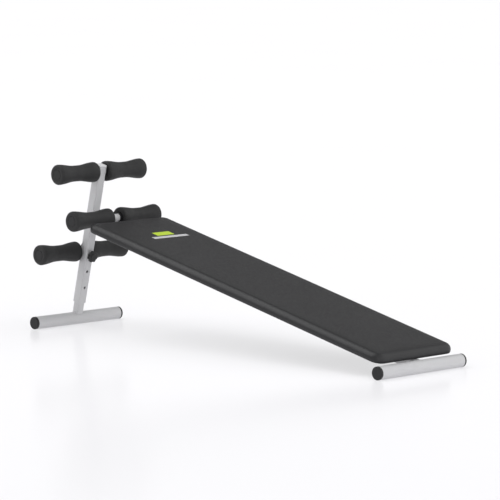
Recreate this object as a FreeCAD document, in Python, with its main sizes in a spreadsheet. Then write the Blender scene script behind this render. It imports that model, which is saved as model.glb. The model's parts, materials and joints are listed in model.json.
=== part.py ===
import FreeCAD, Part
import math
import os
from types import SimpleNamespace

import Sketcher

# A decline sit-up bench: a padded board on one sloping tube, a post with three pairs of foam
# rollers, and a front leg that telescopes in the post.
#
# Every piece is square to one sloping set of axes that starts on the front foot tube's axis:
# "along" runs down the slope to the rear foot, "across" is level, and "up" runs up the post.
# Each body is drawn with its own X along, Y across and Z up, and place() stands it in the row's
# frame: the floor at Z = 0, the origin midway between the feet, and +X towards the rear foot.

CELLS = [
    ("foot_span", 1500, "level distance between the two foot tubes' axes"),
    ("tilt", 13.2, "slope of the bench, in degrees"),
    ("foot_dia", 40, "foot tube, outside"),
    ("foot_wall", 1.5, "foot tube's wall"),
    ("foot_length", 370, "foot with both caps"),
    ("cap_head", 7.5, "thickness of a foot cap outside the tube"),
    ("cap_depth", 16, "depth of a foot cap inside the tube"),
    ("cap_wall", 2, "wall of the hollow plastic plugs"),
    ("cap_edge", 2, "rounding of a foot cap's rim"),
    ("plug_play", 0.1, "radial play of a plastic plug in its tube"),
    ("post_width", 30, "square tube of the post and the main frame"),
    ("tube_wall", 2, "wall of the square tubes"),
    ("tube_corner", 3, "corner radius of the square tubes"),
    ("post_start", 55, "post's lower end, up from the front foot's axis"),
    ("post_end", 518.5, "post's upper end, under its cap"),
    ("post_cap_head", 2.5, "thickness of the post's cap above the tube"),
    ("post_cap_depth", 6, "depth of the post's cap inside the tube"),
    ("leg_width", 25, "square tube that telescopes in the post"),
    ("leg_end", 345, "leg's upper end, up from the front foot's axis"),
    ("leg_plug_head", 3, "guide block on the leg's upper end"),
    ("leg_plug_width", 25.4, "guide block, 0.3 mm clear of the post's inside"),
    ("leg_plug_depth", 8, "depth of the guide block inside the leg"),
    ("hole_first", 107.6, "lowest adjusting hole, up from the front foot's axis"),
    ("hole_pitch", 55.4, "distance between adjusting holes"),
    ("hole_dia", 9, "adjusting hole, for an 8 mm stud"),
    ("bar_dia", 25, "roller bar, outside"),
    ("bar_wall", 1.5, "roller bar's wall"),
    ("bar_half", 179.8, "roller bar's end, across from the middle"),
    ("bar_sink", 0.3, "flat that seats a welded bar on its tube"),
    ("top_bar_up", 497.5, "top roller bar, through the post"),
    ("middle_bar_along", 100, "middle roller bar, on its saddle on the main frame tube"),
    ("lower_bar_up", 220.5, "lower roller bar, on the post's front face"),
    ("roller_start", 20, "foam's inner end, across from the middle"),
    ("roller_end", 182, "foam's outer end, across from the middle"),
    ("roller_dia", 65.4, "foam at its two bulges"),
    ("waist_dia", 51.6, "foam between the bulges"),
    ("waist_half", 10, "half the length of the straight waist"),
    ("roller_edge", 7.5, "rounding of the foam's ends"),
    ("recess_dia", 35, "recess in the foam's ends"),
    ("recess_depth", 2.5, "depth of that recess"),
    ("core_wall", 2.45, "wall of the plastic sleeve in the foam"),
    ("core_play", 0.05, "radial running clearance of the sleeve on its bar"),
    ("stop_dia", 33, "stop collar and end plug flange"),
    ("stop_thick", 7, "stop collar's length"),
    ("stop_gap", 0.3, "end clearance of a roller"),
    ("flange_thick", 2.2, "end plug's flange"),
    ("flange_edge", 1.2, "rounding of that flange"),
    ("pad_start", 156, "pad's upper end, along"),
    ("pad_end", 1443, "pad's lower end, along"),
    ("pad_width", 336, "pad, across"),
    ("pad_thick", 27, "pad's thickness with its board"),
    ("pad_corner", 30, "pad's corner radius, seen from above"),
    ("pad_round", 20, "rounding of the pad's upper edge"),
    ("pad_under", 2.5, "rounding of the pad's lower edge"),
    ("board_inset", 3, "board's edge inside the cover"),
    ("board_thick", 10, "plywood board"),
    ("strap_wide", 40, "flat bar across the main frame tube, which carries the pad"),
    ("strap_thick", 3, "thickness of that flat bar"),
    ("strap_length", 200, "length of a pad strap, across"),
    ("strap_corner", 4, "corner radius of a pad strap"),
    ("strap_upper", 330, "upper pad strap, along"),
    ("strap_lower", 1250, "lower pad strap, along"),
    ("screw_across", 85, "pad screws, across from the middle"),
    ("screw_dia", 6, "pad screw"),
    ("screw_play", 0.05, "radial play of a screw in its nut"),
    ("screw_length", 12, "pad screw, under its head"),
    ("screw_head_dia", 10, "pad screw's head"),
    ("screw_head", 4, "height of that head"),
    ("washer_dia", 12, "washer under a pad screw"),
    ("washer_thick", 1.6, "thickness of that washer"),
    ("strap_hole_dia", 6.6, "screw hole in a pad strap"),
    ("nut_barrel_dia", 7.8, "tee nut's barrel"),
    ("nut_flange_dia", 18, "tee nut's flange"),
    ("nut_flange", 1.2, "thickness of that flange"),
    ("nut_play", 0.1, "radial play of the tee nut in the board"),
    ("plate_width", 24, "threaded plate on the post"),
    ("plate_thick", 3, "thickness of that plate"),
    ("stud_dia", 8, "knob's stud"),
    ("stud_play", 0.05, "radial running clearance of the stud in its thread and washer"),
    ("stud_gap", 0.3, "stud's tip to the leg when the knob is backed off"),
    ("knob_backed_off", 2.6, "knob's washer to the plate, as stored"),
    ("knob_washer_dia", 20, "washer between the knob and the plate"),
    ("knob_washer_thick", 1.5, "thickness of that washer"),
    ("hub_dia", 22, "knob's hub"),
    ("hub_thick", 2, "hub's length beside the grip"),
    ("grip_dia", 41, "knob's grip over its lobes"),
    ("grip_thick", 10, "grip's thickness"),
    ("grip_edge", 1.6, "rounding of the grip's edges"),
    ("boss_height", 1.5, "hub's boss in front of the grip"),
    ("boss_edge", 1.2, "rounding of that boss"),
    ("stud_in_knob", 7, "stud's length inside the hub and grip"),
]
LOBES = 7
LOBE_SHARE = 0.56  # the part of each lobe's pitch that bulges outwards
LOBE_RADIUS = 0.32  # a lobe's radius over the grip's
SCALLOP_RADIUS = 0.26  # the radius of the hollow between two lobes over the grip's
LOBE_FOOT = 0.86  # where a lobe meets a hollow, over the grip's radius


class Size:
    """A number and the expression over the sheet's cells that gives it."""

    def __init__(self, value, text):
        self.value = value
        self.text = text

    def _with(self, sign, other, value):
        return Size(value(self.value, size(other).value), f"({self.text} {sign} {size(other).text})")

    def __add__(self, other):
        return self._with("+", other, lambda a, b: a + b)

    def __sub__(self, other):
        return self._with("-", other, lambda a, b: a - b)

    def __mul__(self, other):
        return self._with("*", other, lambda a, b: a * b)

    def __truediv__(self, other):
        return self._with("/", other, lambda a, b: a / b)

    def __neg__(self):
        return self * -1


def size(number):
    """A plain number as a Size."""
    return number if isinstance(number, Size) else Size(float(number), repr(float(number)))


def sine(angle):
    return Size(math.sin(math.radians(angle.value)), f"sin({angle.text} * 1 deg)")


def cosine(angle):
    return Size(math.cos(math.radians(angle.value)), f"cos({angle.text} * 1 deg)")


doc = FreeCAD.newDocument("decline_sit_up_bench")
sheet = doc.addObject("Spreadsheet::Sheet", "sizes")
cell = SimpleNamespace()
for row, (name, value, meaning) in enumerate(CELLS, start=1):
    sheet.set(f"A{row}", meaning)
    sheet.set(f"B{row}", str(value))
    sheet.setAlias(f"B{row}", name)
    setattr(cell, name, Size(float(value), f"sizes.{name}"))
doc.recompute()

# Sizes that follow from the cells.
foot_radius = cell.foot_dia / 2
half_post = cell.post_width / 2
bar_radius = cell.bar_dia / 2
rear_up = cell.foot_span * sine(cell.tilt)
rear_along = cell.foot_span * cosine(cell.tilt)
frame_top = rear_up + half_post
bar_seat = bar_radius - cell.bar_sink
pad_up = frame_top + cell.strap_thick
middle_bar_up = pad_up + bar_seat
lower_bar_along = -(half_post + bar_seat)
knob_up = cell.hole_first + cell.hole_pitch * 2
tube_half = cell.foot_length / 2 - cell.cap_head
roller_middle = (cell.roller_start + cell.roller_end) / 2
roller_half = (cell.roller_end - cell.roller_start) / 2
core_outer = bar_radius + cell.core_play + cell.core_wall
straps = {
    "upper": cell.strap_upper,
    "middle": (cell.strap_upper + cell.strap_lower) / 2,
    "lower": cell.strap_lower,
}
nodes = []


# ---- drawing ----


def vector(x, y):
    return FreeCAD.Vector(size(x).value, size(y).value, 0)


def bind(sketch, kind, where, amount, name):
    """Adds a dimension to a sketch and ties it to its expression."""
    index = sketch.addConstraint(Sketcher.Constraint(kind, *where, amount.value))
    sketch.renameConstraint(index, name)
    sketch.setExpression(f"Constraints.{name}", amount.text)


def pin_point(sketch, edge, end, x, y, name):
    """Holds one point of an edge at (x, y) from the sketch's origin."""
    for kind, axis, amount in (("DistanceX", -2, size(x)), ("DistanceY", -1, size(y))):
        if amount.text == "0.0":
            sketch.addConstraint(Sketcher.Constraint("PointOnObject", edge, end, axis))
        else:
            bind(sketch, kind, (-1, 1, edge, end), amount, f"{name}_{kind[-1].lower()}")


def arc_between(start, end, radius):
    """The short arc from start to end, to the left of its centre's side when radius is positive."""
    chord = end - start
    to_centre = math.sqrt(radius**2 - (chord.Length / 2) ** 2)
    left = FreeCAD.Vector(-chord.y, chord.x, 0).normalize()
    centre = (start + end) * 0.5 + left * math.copysign(to_centre, radius)
    first, last = (start, end) if radius > 0 else (end, start)
    turns = [math.atan2(p.y - centre.y, p.x - centre.x) for p in (first, last)]
    circle = Part.Circle(centre, FreeCAD.Vector(0, 0, 1), abs(radius))
    return Part.ArcOfCircle(circle, *turns)


def draw_outline(sketch, corners):
    """A closed outline of (x, y) corners; (x, y, radius) starts an arc, to the left if positive."""
    base = sketch.GeometryCount
    ends = []
    for i, corner in enumerate(corners):
        start, end = vector(*corner[:2]), vector(*corners[(i + 1) % len(corners)][:2])
        if len(corner) == 2:
            sketch.addGeometry(Part.LineSegment(start, end))
            ends.append((1, 2))
        else:
            sketch.addGeometry(arc_between(start, end, corner[2].value))
            ends.append((1, 2) if corner[2].value > 0 else (2, 1))
    for i, corner in enumerate(corners):
        edge, after = base + i, base + (i + 1) % len(corners)
        joined = (edge, ends[i][1], after, ends[after - base][0])
        sketch.addConstraint(Sketcher.Constraint("Coincident", *joined))
        pin_point(sketch, edge, ends[i][0], *corner[:2], f"corner_{edge}")
        if len(corner) == 3:
            radius = corner[2] if corner[2].value > 0 else -corner[2]
            bind(sketch, "Radius", (edge,), radius, f"arc_{edge}")


def draw_circle(sketch, x, y, radius):
    edge = sketch.GeometryCount
    sketch.addGeometry(Part.Circle(vector(x, y), FreeCAD.Vector(0, 0, 1), radius.value))
    pin_point(sketch, edge, 3, x, y, f"centre_{edge}")
    bind(sketch, "Radius", (edge,), radius, f"radius_{edge}")


def circle(x, y, radius):
    return lambda sketch: draw_circle(sketch, x, y, radius)


def outline(corners):
    return lambda sketch: draw_outline(sketch, corners)


def rectangle(left, low, right, high):
    return outline([(left, low), (right, low), (right, high), (left, high)])


def rounded(width, height, radius):
    """A rectangle about the sketch's origin with rounded corners."""
    x, y = width / 2, height / 2
    corners = []
    for across, tall, turn in ((1, -1, False), (1, 1, True), (-1, 1, False), (-1, -1, True)):
        near_side = ((x * across), (y - radius) * tall)
        near_end = ((x - radius) * across, (y * tall))
        first, second = (near_side, near_end) if turn else (near_end, near_side)
        corners += [(*first, radius), second]
    return outline(corners)


def make_sketch(body, plane, shapes, start=0):
    """A sketch on one of the body's own planes, moved along its normal by start."""
    sketch = body.newObject("Sketcher::SketchObject", "sketch")
    origin_plane = next(f for f in body.Origin.OriginFeatures if f.Role == plane)
    sketch.AttachmentSupport = [(origin_plane, "")]
    sketch.MapMode = "FlatFace"
    if size(start).text != "0.0":
        sketch.AttachmentOffset = FreeCAD.Placement(
            FreeCAD.Vector(0, 0, size(start).value), FreeCAD.Rotation()
        )
        sketch.setExpression("AttachmentOffset.Base.z", start.text)
    for shape in shapes:
        shape(sketch)
    return sketch


# ---- features ----


def new_body(label):
    body = doc.addObject("PartDesign::Body", label)
    body.Label = label
    body.AllowCompound = True
    nodes.append(body)
    return body


def extrude(body, plane, shapes, length, start=0, side="One side", backwards=False):
    pad = body.newObject("PartDesign::Pad", "pad")
    pad.Profile = make_sketch(body, plane, shapes, start)
    pad.SideType = side
    pad.Reversed = backwards
    pad.Length = length.value
    pad.setExpression("Length", length.text)
    return pad


def cut(body, plane, shapes, depth=None, start=0, side="One side", backwards=False):
    """A pocket, right through unless depth is given, which has to take something away."""
    doc.recompute()
    before = body.Shape.Volume
    pocket = body.newObject("PartDesign::Pocket", "pocket")
    pocket.Profile = make_sketch(body, plane, shapes, start)
    pocket.SideType = side
    pocket.Reversed = backwards
    if depth is None:
        pocket.Type = "ThroughAll"
    else:
        pocket.Length = depth.value
        pocket.setExpression("Length", depth.text)
    doc.recompute()
    if body.Shape.Volume > before - 1e-3:
        raise RuntimeError(f"a pocket in {body.Label} cuts nothing")
    return pocket


def turn(body, corners, plane="XY_Plane", axis="V_Axis"):
    """A full revolution of one outline about its sketch's axis."""
    revolution = body.newObject("PartDesign::Revolution", "revolution")
    sketch = make_sketch(body, plane, [outline(corners)])
    revolution.Profile = sketch
    revolution.ReferenceAxis = (sketch, [axis])
    revolution.Angle = 360
    return revolution


def round_edges(body, radius, chosen):
    """Rounds the edges of the body's last feature that chosen(edge) picks."""
    doc.recompute()
    base = body.Tip
    names = [f"Edge{i}" for i, edge in enumerate(base.Shape.Edges, start=1) if chosen(edge)]
    fillet = body.newObject("PartDesign::Fillet", "fillet")
    fillet.Base = (base, names)
    fillet.Radius = radius.value
    fillet.setExpression("Radius", radius.text)
    return fillet


def flat_at(axis, amount):
    """Picks the edges that lie wholly in one plane of the body."""

    def chosen(edge):
        box = edge.BoundBox
        low, high = getattr(box, axis + "Min"), getattr(box, axis + "Max")
        return abs(low - amount.value) < 1e-4 and abs(high - amount.value) < 1e-4

    return chosen


def place(body, along=0, across=0, up=0):
    """Stands a body in the row's frame, at its own place on the slope."""
    along, across, up = size(along), size(across), size(up)
    x = along * cosine(cell.tilt) + up * sine(cell.tilt) - cell.foot_span / 2
    z = up * cosine(cell.tilt) - along * sine(cell.tilt) + foot_radius
    slope = FreeCAD.Rotation(FreeCAD.Vector(0, 1, 0), cell.tilt.value)
    body.Placement = FreeCAD.Placement(FreeCAD.Vector(x.value, across.value, z.value), slope)
    for axis, amount in zip("xyz", (x, across, z)):
        body.setExpression(f"Placement.Base.{axis}", amount.text)
    body.setExpression("Placement.Rotation.Angle", f"{cell.tilt.text} * 1 deg")
    return body


# ---- tubes ----


def square_tube(width):
    """The two outlines of a square tube's section."""
    hollow = width - cell.tube_wall * 2
    inner_corner = cell.tube_corner - cell.tube_wall
    return [rounded(width, width, cell.tube_corner), rounded(hollow, hollow, inner_corner)]


def adjusting_holes(body, count):
    """A row of holes through the wall on the pad's side only."""
    holes = [
        circle(0, cell.hole_first + cell.hole_pitch * i, cell.hole_dia / 2) for i in range(count)
    ]
    cut(body, "YZ_Plane", holes, backwards=True)


def make_foot(name, along=0, up=0):
    """A round foot tube and its two caps."""
    tube = new_body(f"{name}_foot_tube")
    rings = [circle(0, 0, foot_radius), circle(0, 0, foot_radius - cell.foot_wall)]
    extrude(tube, "XZ_Plane", rings, tube_half * 2, side="Symmetric")
    place(tube, along, 0, up)
    plug = foot_radius - cell.foot_wall - cell.plug_play
    hollow = plug - cell.cap_wall
    for hand, side in (("left", -1), ("right", 1)):
        cap = new_body(f"{name}_foot_cap_{hand}")
        edge = cell.cap_edge * side
        profile = [
            (0, 0),
            (hollow, 0),
            (hollow, cell.cap_depth * -side),
            (plug, cell.cap_depth * -side),
            (plug, 0),
            (foot_radius, 0),
            (foot_radius, (cell.cap_head - cell.cap_edge) * side, edge),
            (foot_radius - cell.cap_edge, cell.cap_head * side),
            (0, cell.cap_head * side),
        ]
        turn(cap, profile)
        place(cap, along, tube_half * side, up)


def make_leg():
    """The inner leg, coped round the front foot tube, and the guide block in its upper end."""
    leg = new_body("inner_leg_tube")
    start = foot_radius / 2
    extrude(leg, "XY_Plane", square_tube(cell.leg_width), cell.leg_end - start, start=start)
    cut(leg, "XZ_Plane", [circle(0, 0, foot_radius)], side="Symmetric")
    adjusting_holes(leg, 5)
    place(leg)
    plug = new_body("leg_top_plug")
    width = cell.leg_width - (cell.tube_wall + cell.plug_play) * 2
    hollow = width - cell.cap_wall * 2
    corner = cell.tube_corner - cell.tube_wall
    head = rounded(cell.leg_plug_width, cell.leg_plug_width, corner)
    extrude(plug, "XY_Plane", [head], cell.leg_plug_head)
    ring = [rounded(width, width, corner), rounded(hollow, hollow, corner)]
    extrude(plug, "XY_Plane", ring, cell.leg_plug_depth, backwards=True)
    place(plug, up=cell.leg_end)


def make_post():
    """The post, with the top roller bar's hole, and its cap."""
    post = new_body("post_tube")
    length = cell.post_end - cell.post_start
    extrude(post, "XY_Plane", square_tube(cell.post_width), length, start=cell.post_start)
    cut(post, "XZ_Plane", [circle(0, cell.top_bar_up, bar_radius)], side="Symmetric")
    adjusting_holes(post, 3)
    place(post)
    cap = new_body("post_top_cap")
    width = cell.post_width - (cell.tube_wall + cell.plug_play) * 2
    hollow = width - cell.cap_wall * 2
    corner = cell.tube_corner - cell.tube_wall
    head = rounded(cell.post_width, cell.post_width, cell.tube_corner)
    ring = [rounded(width, width, corner), rounded(hollow, hollow, corner)]
    extrude(cap, "XY_Plane", [head], cell.post_cap_head)
    extrude(cap, "XY_Plane", ring, cell.post_cap_depth, backwards=True)
    round_edges(cap, cell.post_cap_head / 2, flat_at("Z", cell.post_cap_head))
    place(cap, up=cell.post_end)


def make_main_frame():
    """The sloping tube from the post to the rear foot, coped round it."""
    tube = new_body("main_frame_tube")
    length = rear_along - half_post - foot_radius / 2
    extrude(tube, "YZ_Plane", square_tube(cell.post_width), length)
    cut(tube, "XZ_Plane", [circle(rear_along - half_post, 0, foot_radius)], side="Symmetric")
    place(tube, along=half_post, up=rear_up)


# ---- rollers ----


def make_bar(name, along, up, seat=None):
    """A roller bar. seat is the side that a welded bar rests on: "along" or "up"."""
    bar = new_body(f"{name}_roller_bar")
    rings = [circle(0, 0, bar_radius), circle(0, 0, bar_radius - cell.bar_wall)]
    extrude(bar, "XZ_Plane", rings, cell.bar_half * 2, side="Symmetric")
    flats = {
        "along": rectangle(bar_seat, -bar_radius, cell.bar_dia, bar_radius),
        "up": rectangle(-bar_radius, -cell.bar_dia, bar_radius, -bar_seat),
    }
    if seat:
        cut(bar, "XZ_Plane", [flats[seat]], depth=cell.post_width, side="Symmetric")
    place(bar, along, 0, up)


def make_end_plug(label, side, along, up):
    """The plug in a bar's end, whose flange keeps the roller on."""
    plug = new_body(label)
    outer = bar_radius - cell.bar_wall - cell.plug_play
    hollow = outer - cell.cap_wall
    edge = cell.flange_edge * side
    flange = cell.stop_dia / 2
    profile = [
        (0, 0),
        (hollow, 0),
        (hollow, cell.cap_depth * -side),
        (outer, cell.cap_depth * -side),
        (outer, 0),
        (flange, 0),
        (flange, (cell.flange_thick - cell.flange_edge) * side, edge),
        (flange - cell.flange_edge, cell.flange_thick * side),
        (0, cell.flange_thick * side),
    ]
    turn(plug, profile)
    place(plug, along, cell.bar_half * side, up)


def make_core(label, side, along, up):
    """The plastic sleeve that turns on the bar."""
    core = new_body(label)
    rings = [circle(0, 0, core_outer), circle(0, 0, bar_radius + cell.core_play)]
    length = roller_half * 2 - cell.recess_depth * 2
    extrude(core, "XZ_Plane", rings, length, side="Symmetric")
    place(core, along, roller_middle * side, up)


def make_foam(label, side, along, up):
    """Dogbone foam: a straight waist that flares to a bulge near each end in two equal arcs."""
    foam = new_body(label)
    bulge, waist, edge = cell.roller_dia / 2, cell.waist_dia / 2, cell.roller_edge
    crest = roller_half - edge
    rise, run = bulge - waist, crest - cell.waist_half
    flare = (rise * rise + run * run) / (rise * 4)
    bend = ((bulge + waist) / 2, (crest + cell.waist_half) / 2)
    recess = cell.recess_dia / 2
    floor = roller_half - cell.recess_depth
    profile = [
        (core_outer, -floor),
        (recess, -floor),
        (recess, -roller_half),
        (bulge - edge, -roller_half, edge),
        (bulge, -crest, flare),
        (bend[0], -bend[1], -flare),
        (waist, -cell.waist_half),
        (waist, cell.waist_half, -flare),
        (*bend, flare),
        (bulge, crest, edge),
        (bulge - edge, roller_half),
        (recess, roller_half),
        (recess, floor),
        (core_outer, floor),
    ]
    turn(foam, profile)
    place(foam, along, roller_middle * side, up)


def make_stop_rings(bars):
    """A collar on each bar at each side of the frame, which ends inside the foam's recess."""
    rings = new_body("roller_stop_rings")
    shapes = []
    for along, up in bars:
        shapes += [circle(along, up, cell.stop_dia / 2), circle(along, up, bar_radius)]
    start = cell.roller_start + cell.recess_depth - cell.stop_gap
    extrude(rings, "XZ_Plane", shapes, cell.stop_thick, start=start, backwards=True)
    extrude(rings, "XZ_Plane", shapes, cell.stop_thick, start=-start)
    place(rings)


def make_rollers():
    bars = {
        "top": (size(0), cell.top_bar_up, None),
        "middle": (cell.middle_bar_along, middle_bar_up, "up"),
        "lower": (lower_bar_along, cell.lower_bar_up, "along"),
    }
    for name, (along, up, seat) in bars.items():
        make_bar(name, along, up, seat)
        for hand, side in (("left", -1), ("right", 1)):
            make_end_plug(f"{name}_{hand}_end_plug", side, along, up)
            make_core(f"{name}_{hand}_core", side, along, up)
            make_foam(f"{name}_{hand}_foam", side, along, up)
    make_stop_rings([(along, up) for along, up, _ in bars.values()])


# ---- pad ----


def make_straps():
    """Flat bars welded on the main frame tube: three for the pad, one under the middle bar."""
    hole = cell.strap_hole_dia / 2
    for name, along in straps.items():
        strap = new_body(f"pad_strap_{name}")
        flat = rounded(cell.strap_wide, cell.strap_length, cell.strap_corner)
        holes = [circle(0, cell.screw_across * side, hole) for side in (-1, 1)]
        extrude(strap, "XY_Plane", [flat, *holes], cell.strap_thick)
        place(strap, along, 0, frame_top)
    saddle = new_body("middle_bar_saddle")
    flat = rounded(cell.strap_wide, cell.post_width, cell.strap_corner)
    extrude(saddle, "XY_Plane", [flat], cell.strap_thick)
    place(saddle, cell.middle_bar_along, 0, frame_top)


def at_screws(radius):
    """A circle of this radius at each pad screw."""
    return [
        circle(along, cell.screw_across * side, radius)
        for along in straps.values()
        for side in (-1, 1)
    ]


def ring_at_screws(outer, inner):
    return at_screws(outer) + at_screws(inner)


def make_pad():
    """The board, its foam and cover in one soft body, and what fastens it to the straps."""
    length = cell.pad_end - cell.pad_start
    middle = (cell.pad_end + cell.pad_start) / 2
    board_size = (length - cell.board_inset * 2, cell.pad_width - cell.board_inset * 2)
    board_outline = rounded(*board_size, cell.pad_corner - cell.board_inset)

    board = new_body("pad_board")
    extrude(board, "XY_Plane", [board_outline], cell.board_thick)
    spots = []
    recesses = []
    for along in straps.values():
        for side in (-1, 1):
            spot = (along - middle, cell.screw_across * side)
            spots.append(circle(*spot, cell.nut_barrel_dia / 2 + cell.nut_play))
            recesses.append(circle(*spot, cell.nut_flange_dia / 2 + cell.nut_play))
    cut(board, "XY_Plane", spots, backwards=True)
    recess_floor = cell.board_thick - cell.nut_flange
    cut(board, "XY_Plane", recesses, depth=cell.nut_flange, start=recess_floor, backwards=True)
    place(board, middle, 0, pad_up)

    cushion = new_body("pad_cushion")
    extrude(cushion, "XY_Plane", [rounded(length, cell.pad_width, cell.pad_corner)], cell.pad_thick)
    round_edges(cushion, cell.pad_round, flat_at("Z", cell.pad_thick))
    round_edges(cushion, cell.pad_under, flat_at("Z", size(0)))
    cut(cushion, "XY_Plane", [board_outline], depth=cell.board_thick, backwards=True)
    place(cushion, middle, 0, pad_up)

    bore = cell.screw_dia / 2 + cell.screw_play
    nuts = new_body("pad_tee_nuts")
    barrel = ring_at_screws(cell.nut_barrel_dia / 2, bore)
    flange = ring_at_screws(cell.nut_flange_dia / 2, bore)
    extrude(nuts, "XY_Plane", barrel, recess_floor)
    extrude(nuts, "XY_Plane", flange, cell.nut_flange, start=recess_floor)
    place(nuts, up=pad_up)

    washers = new_body("pad_washers")
    ring = ring_at_screws(cell.washer_dia / 2, bore)
    extrude(washers, "XY_Plane", ring, cell.washer_thick, backwards=True)
    place(washers, up=frame_top)

    screws = new_body("pad_screws")
    extrude(screws, "XY_Plane", at_screws(cell.screw_dia / 2), cell.screw_length)
    extrude(screws, "XY_Plane", at_screws(cell.screw_head_dia / 2), cell.screw_head, backwards=True)
    place(screws, up=frame_top - cell.washer_thick)


# ---- knob ----


def lobed(radius):
    """The grip's outline: lobes that bulge outwards, with hollows between them."""
    corners = []
    pitch = 2 * math.pi / LOBES
    for i in range(LOBES):
        for offset, arc in ((-0.5, LOBE_RADIUS), (0.5, -SCALLOP_RADIUS)):
            angle = math.pi / 2 + pitch * (i + offset * LOBE_SHARE)
            foot = radius * LOBE_FOOT
            corners.append((foot * math.cos(angle), foot * math.sin(angle), radius * arc))
    return outline(corners)


def make_knob():
    """The threaded plate on the post, and the washer, stud and lobed head that screw into it."""
    stud_hole = cell.stud_dia / 2 + cell.stud_play
    plate = new_body("knob_thread_plate")
    square = rounded(cell.plate_width, cell.plate_width, cell.tube_corner)
    extrude(plate, "YZ_Plane", [square, circle(0, 0, stud_hole)], cell.plate_thick)
    place(plate, half_post, 0, knob_up)

    washer_along = half_post + cell.plate_thick + cell.knob_backed_off
    washer = new_body("knob_washer")
    rings = [circle(0, 0, cell.knob_washer_dia / 2), circle(0, 0, stud_hole)]
    extrude(washer, "YZ_Plane", rings, cell.knob_washer_thick)
    place(washer, washer_along, 0, knob_up)

    knob_along = washer_along + cell.knob_washer_thick
    head = new_body("knob_head")
    grip_end = cell.hub_thick + cell.grip_thick
    extrude(head, "YZ_Plane", [lobed(cell.grip_dia / 2)], cell.grip_thick, start=cell.hub_thick)
    round_edges(head, cell.grip_edge, flat_at("X", grip_end))
    boss_end = grip_end + cell.boss_height
    extrude(head, "YZ_Plane", [circle(0, 0, cell.hub_dia / 2)], boss_end)
    round_edges(head, cell.boss_edge, flat_at("X", boss_end))
    cut(head, "YZ_Plane", [circle(0, 0, cell.stud_dia / 2)], depth=cell.stud_in_knob, backwards=True)
    place(head, knob_along, 0, knob_up)

    stud = new_body("knob_stud")
    tip = cell.leg_width / 2 + cell.stud_gap
    length = knob_along + cell.stud_in_knob - tip
    extrude(stud, "YZ_Plane", [circle(0, 0, cell.stud_dia / 2)], length)
    place(stud, tip, 0, knob_up)


# ---- the bench ----


def check():
    """Stops unless every object is up to date and every piece is a valid solid."""
    for item in doc.Objects:
        if "Invalid" in item.State or "Error" in item.State:
            raise RuntimeError(f"{item.Label} is {item.State}")
    for body in nodes:
        if body.Shape.isNull() or not body.Shape.isValid() or not body.Shape.Solids:
            raise RuntimeError(f"{body.Label} has no valid shape")


make_foot("front")
make_leg()
make_post()
make_main_frame()
make_foot("rear", rear_along, rear_up)
make_rollers()
make_straps()
make_pad()
make_knob()
doc.recompute()
check()
os.makedirs("parts", exist_ok=True)
for body in nodes:
    body.Shape.exportStep(os.path.join("parts", f"{body.Label}.step"))
    print(body.Label, len(body.Shape.Solids), "solids", round(body.Shape.Volume / 1000, 2), "cm3")
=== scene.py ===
import json
import math
import random

import bmesh
import bpy
import numpy as np
from mathutils import Matrix, Vector, noise


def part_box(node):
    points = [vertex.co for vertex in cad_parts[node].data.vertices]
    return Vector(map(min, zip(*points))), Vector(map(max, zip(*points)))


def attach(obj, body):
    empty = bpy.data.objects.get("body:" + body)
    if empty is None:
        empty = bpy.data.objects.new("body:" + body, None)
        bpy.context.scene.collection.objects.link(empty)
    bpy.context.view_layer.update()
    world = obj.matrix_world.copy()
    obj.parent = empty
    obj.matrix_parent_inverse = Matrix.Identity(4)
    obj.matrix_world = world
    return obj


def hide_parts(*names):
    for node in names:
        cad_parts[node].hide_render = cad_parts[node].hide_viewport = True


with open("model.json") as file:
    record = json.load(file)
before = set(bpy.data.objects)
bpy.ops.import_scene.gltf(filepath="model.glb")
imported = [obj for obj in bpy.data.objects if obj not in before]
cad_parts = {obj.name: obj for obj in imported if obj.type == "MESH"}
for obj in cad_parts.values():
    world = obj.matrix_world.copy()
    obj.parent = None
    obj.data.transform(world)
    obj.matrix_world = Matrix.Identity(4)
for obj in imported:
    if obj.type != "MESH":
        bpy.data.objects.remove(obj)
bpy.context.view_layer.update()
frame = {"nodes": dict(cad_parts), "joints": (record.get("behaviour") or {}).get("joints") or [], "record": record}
nodes = frame["nodes"]
joints = {j["name"]: j for j in frame["joints"]}
dice = random.Random(7)
MM = 0.001
HANDS = ("left", "right")
BARS = ("top", "middle", "lower")

# The bench is square to one sloping set of axes, which starts on the front foot tube's axis.
UP = -Vector(joints["height_adjust"]["axis"]).normalized()
ALONG = Vector((UP.z, 0, -UP.x))
ACROSS = Vector((0, 1, 0))
foot_low, foot_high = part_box("front_foot_tube")
FOOT_RADIUS = (foot_high.z - foot_low.z) / 2
ORIGIN = (foot_low + foot_high) / 2
SLOPE = Matrix.Translation(ORIGIN) @ Matrix((ALONG, ACROSS, UP)).transposed().to_4x4()
TILT = math.atan2(UP.x, UP.z)


def on_slope(along, across, up):
    """A point of the bench's sloping axes, in the model's own frame."""
    return SLOPE @ Vector((along, across, up))


def slope_box(node):
    """A CAD node's lowest and highest corners in the sloping axes."""
    back = SLOPE.inverted()
    points = np.array([back @ v.co for v in nodes[node].data.vertices])
    return Vector(points.min(0)), Vector(points.max(0))


# ---- materials ----

NOISE_RANGE = (0.3, 0.7)  # where nearly all of a noise's values lie
NOOK_REACH = 6 * MM  # painted shade: the paint's colour is darkened in holes and corners narrower than this
NOOK_SHADE = (0.05, 0.05, 0.052)


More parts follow.
